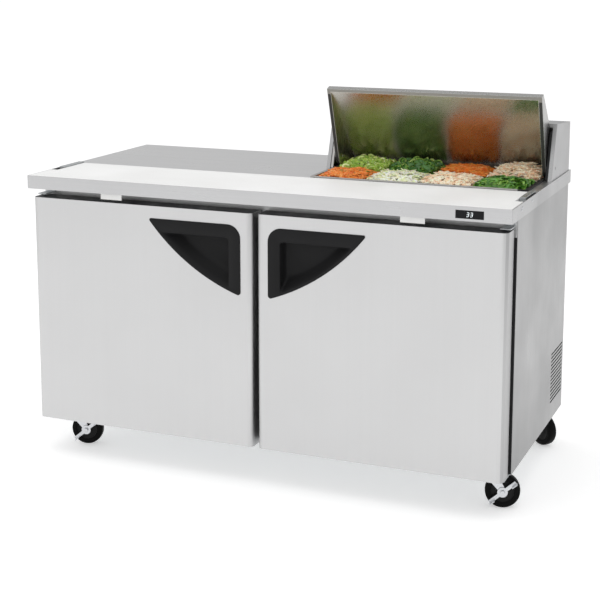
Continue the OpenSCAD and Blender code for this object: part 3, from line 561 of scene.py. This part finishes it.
class Heap:
    """A mound in one pan with shreds laid over it, all in one mesh with a tint on each shred."""

    def __init__(self, name, pan, seed, base_color, edge, top):
        lo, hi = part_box(pan)
        self.cx, self.cy = (lo.x + hi.x) / 2, (lo.y + hi.y) / 2
        self.hw, self.hl = 66.6 * MM, 73.6 * MM  # half the pan's inside
        over = 10 * MM  # how far food lies out over the rim
        self.half_x, self.half_y = self.hw + over, self.hl + over
        self.rim = hi.z
        self.name, self.body = name, pan
        self.rng = random.Random(seed)
        self.seed = seed
        self.bm = bmesh.new()
        self.tint = self.bm.faces.layers.float_vector.new("t")
        self.edge, self.top = edge * MM, top * MM
        self.mound(base_color)

    def height(self, u, v):
        """u, v run from -1 to 1 over the pan's inside."""
        dome = (1 - abs(u) ** 3.2) * (1 - abs(v) ** 3.2)
        p = Vector((u * 1.7 + self.seed * 3.1, v * 1.7, self.seed * 0.7))
        bumps = noise.fractal(p, 1.0, 2.0, 3)
        return self.rim + self.edge + (self.top - self.edge) * dome + bumps * 0.005 * (0.4 + dome)

    def mound(self, color, n=26):
        """The bed under the shreds, darkened as painted shade, with rounded corners."""
        grid = []
        for i in range(n + 1):
            row = []
            for k in range(n + 1):
                u, v = -1 + 2 * i / n, -1 + 2 * k / n
                x, y = u * self.half_x, v * self.half_y
                r = 20 * MM
                ex, ey = abs(x) - (self.half_x - r), abs(y) - (self.half_y - r)
                if ex > 0 and ey > 0 and math.hypot(ex, ey) > r:
                    f = r / math.hypot(ex, ey)
                    x = math.copysign(self.half_x - r + ex * f, x)
                    y = math.copysign(self.half_y - r + ey * f, y)
                z = max(self.height(u, v) - 4 * MM, self.rim + 0.4 * MM)
                z = min(z, food_ceiling(self.cy + y) - 0.3 * MM)
                row.append(self.bm.verts.new((self.cx + x, self.cy + y, z)))
            grid.append(row)
        for i in range(n):
            for k in range(n):
                f = self.bm.faces.new((grid[i][k], grid[i + 1][k], grid[i + 1][k + 1], grid[i][k + 1]))
                # Painted shade: the bed takes the food's colour at 0.55.
                f[self.tint] = pick(self.rng, [shade(color, 0.55)], 0.1)

    def place(self):
        """A random spot on the heap."""
        spill = 0.93
        u, v = self.rng.uniform(-spill, spill), self.rng.uniform(-spill, spill)
        x, y = u * self.half_x, v * self.half_y
        return Vector((self.cx + x, self.cy + y, self.height(u, v) + 1 * MM))

    def inside(self, p):
        """Keeps a point over its own pan, and on top of the rim where it is over the rim."""
        reach_x, reach_y = 79 * MM, 86 * MM
        x = max(-reach_x, min(reach_x, p.x - self.cx))
        y = max(-reach_y, min(reach_y, p.y - self.cy))
        z = p.z
        if abs(x) > self.hw or abs(y) > self.hl:
            z = max(z, self.rim + 0.5 * MM)
        z = min(z, food_ceiling(self.cy + y))
        return Vector((self.cx + x, self.cy + y, z))

    def strip(self, length, width, thick, colors, curl, lift=0.25, sides=4, segs=6):
        """One curved strand with tapered ends."""
        rng = self.rng
        p = self.place()
        a = rng.uniform(0, 2 * math.pi)
        d = Vector((math.cos(a), math.sin(a), rng.uniform(-lift, lift)))
        side = Vector((-math.sin(a), math.cos(a), rng.uniform(-0.5, 0.5))).normalized()
        bend = rng.uniform(-curl, curl) / length
        bend_z = rng.uniform(0.2, 1.0) * curl * 0.6 / length
        length *= rng.uniform(0.6, 1.15)
        pts = []
        for i in range(segs + 1):
            t = (i / segs - 0.5) * length
            q = p + d * t + side * (bend * t * t) - Vector((0, 0, 1)) * (bend_z * t * t)
            q.z += rng.uniform(0, 1.5) * MM
            pts.append(self.inside(q))
        col = pick(rng, colors)
        twist = rng.uniform(0, math.pi)
        rings = []
        for i, q in enumerate(pts):
            t = (pts[min(i + 1, segs)] - pts[max(i - 1, 0)])
            if t.length < 1e-6:
                t = d.copy()
            t.normalize()
            n1 = t.cross(Vector((0, 0, 1)))
            if n1.length < 1e-3:
                n1 = t.orthogonal()
            n1.normalize()
            n2 = t.cross(n1)
            k = 0.45 if i in (0, segs) else 1.0
            ring = []
            for s in range(sides):
                b = 2 * math.pi * s / sides + twist
                ring.append(self.bm.verts.new(q + (n1 * math.cos(b) * width + n2 * math.sin(b) * thick) * k / 2))
            rings.append(ring)
        self.skin(rings, col)

    def skin(self, rings, col):
        """Closes a strand over its rings."""
        sides = len(rings[0])
        for a, b in zip(rings, rings[1:]):
            for s in range(sides):
                f = self.bm.faces.new((a[s], a[(s + 1) % sides], b[(s + 1) % sides], b[s]))
                f[self.tint] = col
        self.bm.faces.new(rings[0][::-1])[self.tint] = col
        self.bm.faces.new(rings[-1])[self.tint] = shade(col, 1.08)

    def slice_(self, radius, width, thick, colors, rim_colors, arc=200, segs=9):
        """A curved slice, such as celery or a pepper ring: pale inside, coloured skin outside."""
        rng = self.rng
        p = self.place()
        rot = Matrix.Rotation(rng.uniform(0, 6.28), 3, "Z") @ Matrix.Rotation(rng.uniform(-0.7, 0.7), 3, "X") \
            @ Matrix.Rotation(rng.uniform(-0.7, 0.7), 3, "Y")
        radius *= rng.uniform(0.75, 1.2)
        arc = math.radians(arc * rng.uniform(0.7, 1.1))
        inner, outer = pick(rng, colors), pick(rng, rim_colors)
        rings = []
        for i in range(segs + 1):
            a = -arc / 2 + arc * i / segs
            k = 0.6 if i in (0, segs) else 1.0
            c, s = math.cos(a), math.sin(a)
            ring = []
            core = radius - width * k
            for rr, zz in ((core, -thick / 2), (radius, -thick / 2), (radius, thick / 2), (core, thick / 2)):
                q = p + rot @ Vector((c * rr, s * rr * 0.8, zz))
                q.z += 1.5 * MM
                ring.append(self.bm.verts.new(self.inside(q)))
            rings.append(ring)
        for a, b in zip(rings, rings[1:]):
            for s in range(4):
                f = self.bm.faces.new((a[s], a[(s + 1) % 4], b[(s + 1) % 4], b[s]))
                f[self.tint] = outer if s == 1 else inner
        self.bm.faces.new(rings[0][::-1])[self.tint] = inner
        self.bm.faces.new(rings[-1])[self.tint] = inner

    def leaf(self, length, width, colors, segs=5):
        """A cupped, ruffled leaf blade."""
        rng = self.rng
        p = self.place()
        a = rng.uniform(0, 6.28)
        d = Vector((math.cos(a), math.sin(a), rng.uniform(-0.1, 0.6))).normalized()
        s = d.cross(Vector((0, 0, 1))).normalized()
        up = s.cross(d)
        length *= rng.uniform(0.6, 1.2)
        width *= rng.uniform(0.7, 1.2)
        col = pick(rng, colors, 0.2)
        rows = []
        for i in range(segs + 1):
            t = i / segs
            w = width * math.sin(math.pi * (0.08 + 0.88 * t)) ** 0.8
            row = []
            for k in range(5):
                x = (k - 2) / 2
                ruffle = rng.uniform(-1, 1) * 0.8 * MM
                wave = math.sin(t * 7 + k * 2.1) * 1.0 * MM
                h = 0.35 * abs(x) * w + ruffle + wave - 0.25 * length * t * t
                q = p + d * ((t - 0.35) * length) + s * (x * w / 2) + up * h
                row.append(self.bm.verts.new(self.inside(q)))
            rows.append(row)
        for r0, r1 in zip(rows, rows[1:]):
            for k in range(4):
                f = self.bm.faces.new((r0[k], r0[k + 1], r1[k + 1], r1[k]))
                f[self.tint] = shade(col, 1.25 if k in (1, 2) else 1.0)

    def finish(self, key="food"):
        """Writes the heap out as one piece that rides on its pan."""
        me = bpy.data.meshes.new(self.name)
        colors = [tuple(f[self.tint]) for f in self.bm.faces]
        self.bm.normal_update()
        self.bm.to_mesh(me)
        self.bm.free()
        layer = me.color_attributes.new("tint", "FLOAT_COLOR", "CORNER")
        flat = []
        for poly, c in zip(me.polygons, colors):
            flat.extend([c[0], c[1], c[2], 1.0] * poly.loop_total)
        layer.data.foreach_set("color", flat)
        me.materials.append(mat[key])
        me.shade_smooth()
        me.set_sharp_from_angle(angle=math.radians(50))
        o = bpy.data.objects.new(self.name, me)
        bpy.context.scene.collection.objects.link(o)
        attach(o, self.body)


CARROT = [(1.0, 0.27, 0.03), (1.0, 0.33, 0.05), (0.95, 0.21, 0.02), (1.0, 0.42, 0.09)]
PALE = [(0.92, 0.92, 0.62), (0.98, 0.97, 0.80), (0.82, 0.88, 0.48), (1.0, 0.99, 0.90)]
MEAT = [(0.95, 0.72, 0.48), (1.0, 0.83, 0.62), (0.90, 0.58, 0.36), (1.0, 0.90, 0.70)]
LEAF = [(0.075, 0.24, 0.025), (0.12, 0.34, 0.035), (0.05, 0.17, 0.018), (0.24, 0.46, 0.07)]
CELERY = [(0.58, 0.78, 0.14), (0.74, 0.88, 0.28), (0.88, 0.96, 0.46)]
CELERY_RIM = [(0.30, 0.50, 0.05), (0.38, 0.58, 0.08)]
PEPPER = [(0.14, 0.32, 0.04), (0.24, 0.44, 0.06), (0.50, 0.66, 0.18)]
PEPPER_RIM = [(0.035, 0.14, 0.016), (0.06, 0.20, 0.025)]

density = 1.0


def count(n):
    return int(n * density)


h = Heap("food_carrot_front", "pan_front_1", 11, CARROT[0], edge=-3, top=14)
for _ in range(count(620)):
    h.strip(0.036, 0.0034, 0.0024, CARROT, curl=0.7)
for _ in range(count(26)):
    h.leaf(0.020, 0.012, LEAF)
h.finish()

h = Heap("food_onion", "pan_front_2", 12, PALE[0], edge=-2, top=15)
for _ in range(count(380)):
    h.strip(0.052, 0.0082, 0.0030, PALE, curl=0.9, lift=0.35)
h.finish()

h = Heap("food_turkey", "pan_front_3", 13, MEAT[0], edge=-1, top=17)
for _ in range(count(520)):
    h.strip(0.032, 0.0062, 0.0042, MEAT, curl=0.8, lift=0.4, sides=5)
h.finish()

h = Heap("food_greens", "pan_front_4", 14, LEAF[0], edge=-4, top=12)
for _ in range(count(430)):
    h.leaf(0.034, 0.022, LEAF)
h.finish("leaf")

h = Heap("food_celery", "pan_rear_1", 15, CELERY[0], edge=0, top=20)
for _ in range(count(300)):
    h.slice_(0.014, 0.0056, 0.0068, CELERY, CELERY_RIM)
h.finish()

h = Heap("food_peppers", "pan_rear_2", 16, PEPPER[0], edge=-1, top=20)
for _ in range(count(320)):
    h.slice_(0.016, 0.0050, 0.008, PEPPER, PEPPER_RIM, arc=150)
h.finish()

h = Heap("food_carrot_rear", "pan_rear_3", 17, CARROT[0], edge=0, top=20)
for _ in range(count(620)):
    h.strip(0.038, 0.0036, 0.0025, CARROT, curl=0.7)
h.finish()

h = Heap("food_chicken", "pan_rear_4", 18, MEAT[1], edge=2, top=32)
for _ in range(count(620)):
    h.strip(0.034, 0.0062, 0.0042, MEAT, curl=0.9, lift=0.5, sides=5)
h.finish()


# ---------------------------------------------------------------- display

def display_face():
    """Two generic digits of five lit segments each, just proud of the display."""
    lo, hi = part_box("display")
    front_y, rear_y = lo.y - 0.25 * MM, lo.y + 0.1 * MM
    cx, cz = (lo.x + hi.x) / 2, (lo.z + hi.z) / 2
    w, half_h, stroke, gap, lean, spacing = 6.0, 5.6, 1.1, 0.3, 0.14, 5.3
    # Each lit segment's middle, and whether it stands upright.
    lit = [(0, half_h, False), (w / 2, half_h / 2, True), (w / 2, -half_h / 2, True), (0, -half_h, False),
           (0, 0, False)]
    bm = bmesh.new()
    for digit in (-1, 1):
        for x, z, upright in lit:
            half = (half_h if upright else w) / 2 - gap
            x += digit * spacing
            pts = [(-half - 0.1, 0), (-half + stroke / 2, stroke / 2), (half - stroke / 2, stroke / 2),
                   (half + 0.1, 0), (half - stroke / 2, -stroke / 2), (-half + stroke / 2, -stroke / 2)]
            if upright:
                pts = [(b, a) for a, b in pts]
            front, rear = [], []
            for a, b in pts:
                px = x + a + (z + b) * lean
                front.append(Vector((cx + px * MM, front_y, cz + (z + b) * MM)))
                rear.append(Vector((cx + px * MM, rear_y, cz + (z + b) * MM)))
            bridge(bm, [rear, front])
    piece("display_digits", bm, "cabinet", mat["digit"], smooth=None, slot="display_black")


display_face()

# ---------------------------------------------------------------- screws and small hardware

end_x = (765 + 0.05) * MM
bm = bmesh.new()
for side in (-1, 1):
    for y, z in ((-152, 881), (-270, 881), (-281, 875)):
        screw(bm, (side * end_x, y * MM, z * MM), (side, 0, 0), 3.6, 1.6)
piece("rail_screws", bm, "cabinet", mat["plated_steel"], smooth=40)

rear_y = 378 * MM
bm = bmesh.new()
for x in range(-700, 701, 200):
    for z in (840, 128):
        screw(bm, (x * MM, rear_y, z * MM), (0, 1, 0))
for z in (250, 400, 550, 700):
    for side in (-1, 1):
        screw(bm, (side * 745 * MM, rear_y, z * MM), (0, 1, 0))
piece("rear_screws", bm, "cabinet", mat["plated_steel"], smooth=40)


# ---------------------------------------------------------------- stage, light and camera

def floor():
    """A white ground far larger than the view, faintly lit so that it fades into the background."""
    bm = bmesh.new()
    bmesh.ops.create_grid(bm, x_segments=2, y_segments=2, size=90)
    me = bpy.data.meshes.new("floor")
    bm.to_mesh(me)
    bm.free()
    m = bpy.data.materials.new("floor")
    m.use_nodes = True
    b = m.node_tree.nodes["Principled BSDF"]
    b.inputs["Base Color"].default_value = (0.86, 0.86, 0.86, 1)
    b.inputs["Roughness"].default_value = 0.9
    b.inputs["Emission Color"].default_value = (1, 1, 1, 1)
    b.inputs["Emission Strength"].default_value = 0.42
    me.materials.append(m)
    o = bpy.data.objects.new("floor", me)
    bpy.context.scene.collection.objects.link(o)


floor()


def area(name, at, target, size, power):
    """A white soft light aimed at a point."""
    light = bpy.data.lights.new(name, "AREA")
    light.shape = "RECTANGLE"
    light.size, light.size_y = size
    light.energy = power
    o = bpy.data.objects.new(name, light)
    o.location = at
    o.rotation_mode = "QUATERNION"
    o.rotation_quaternion = (Vector(target) - Vector(at)).to_track_quat("-Z", "Y")
    bpy.context.scene.collection.objects.link(o)


area("key", (-2.0, -5.5, 4.2), (0, 0, 0.6), (5, 4), 22)
area("top", (0.0, -0.4, 4.6), (0, 0, 0.8), (4, 4), 42)
area("left", (-5.5, -2.0, 2.6), (0, 0, 0.6), (3, 3), 12)


def studio_world():
    """A white room, brighter in front than behind and to the right."""
    world = bpy.data.worlds.new("world")
    bpy.context.scene.world = world
    world.use_nodes = True
    nt = world.node_tree
    coord = nt.nodes.new("ShaderNodeTexCoord")
    sep = nt.nodes.new("ShaderNodeSeparateXYZ")
    link(nt, coord.outputs["Generated"], sep.inputs["Vector"])
    depth = map_range(nt, sep.outputs["Y"], 0.88, 0.62, -1.0, 1.0)
    across = map_range(nt, sep.outputs["X"], 0.06, -0.06, -1.0, 1.0)
    total = nt.nodes.new("ShaderNodeMath")
    total.operation = "ADD"
    link(nt, depth, total.inputs[0])
    link(nt, across, total.inputs[1])
    link(nt, total.outputs["Value"], nt.nodes["Background"].inputs["Strength"])
    nt.nodes["Background"].inputs["Color"].default_value = (1, 1, 1, 1)


studio_world()

# The camera is fitted to the photo, with a lens shift small enough that the other views stay in frame.
cam_data = bpy.data.cameras.new("camera")
cam = bpy.data.objects.new("camera", cam_data)
bpy.context.scene.collection.objects.link(cam)
bpy.context.scene.camera = cam
turn, dip = math.radians(22.53), math.radians(9.776)
ahead = Vector((-math.sin(turn) * math.cos(dip), math.cos(turn) * math.cos(dip), -math.sin(dip)))
cam.location = (1.6212, -3.931, 1.5638)
cam.rotation_mode = "QUATERNION"
cam.rotation_quaternion = ahead.to_track_quat("-Z", "Y")
cam_data.sensor_width = 36
cam_data.lens = 82.33
cam_data.shift_y = -0.18
bpy.context.scene.view_settings.view_transform = "Standard"
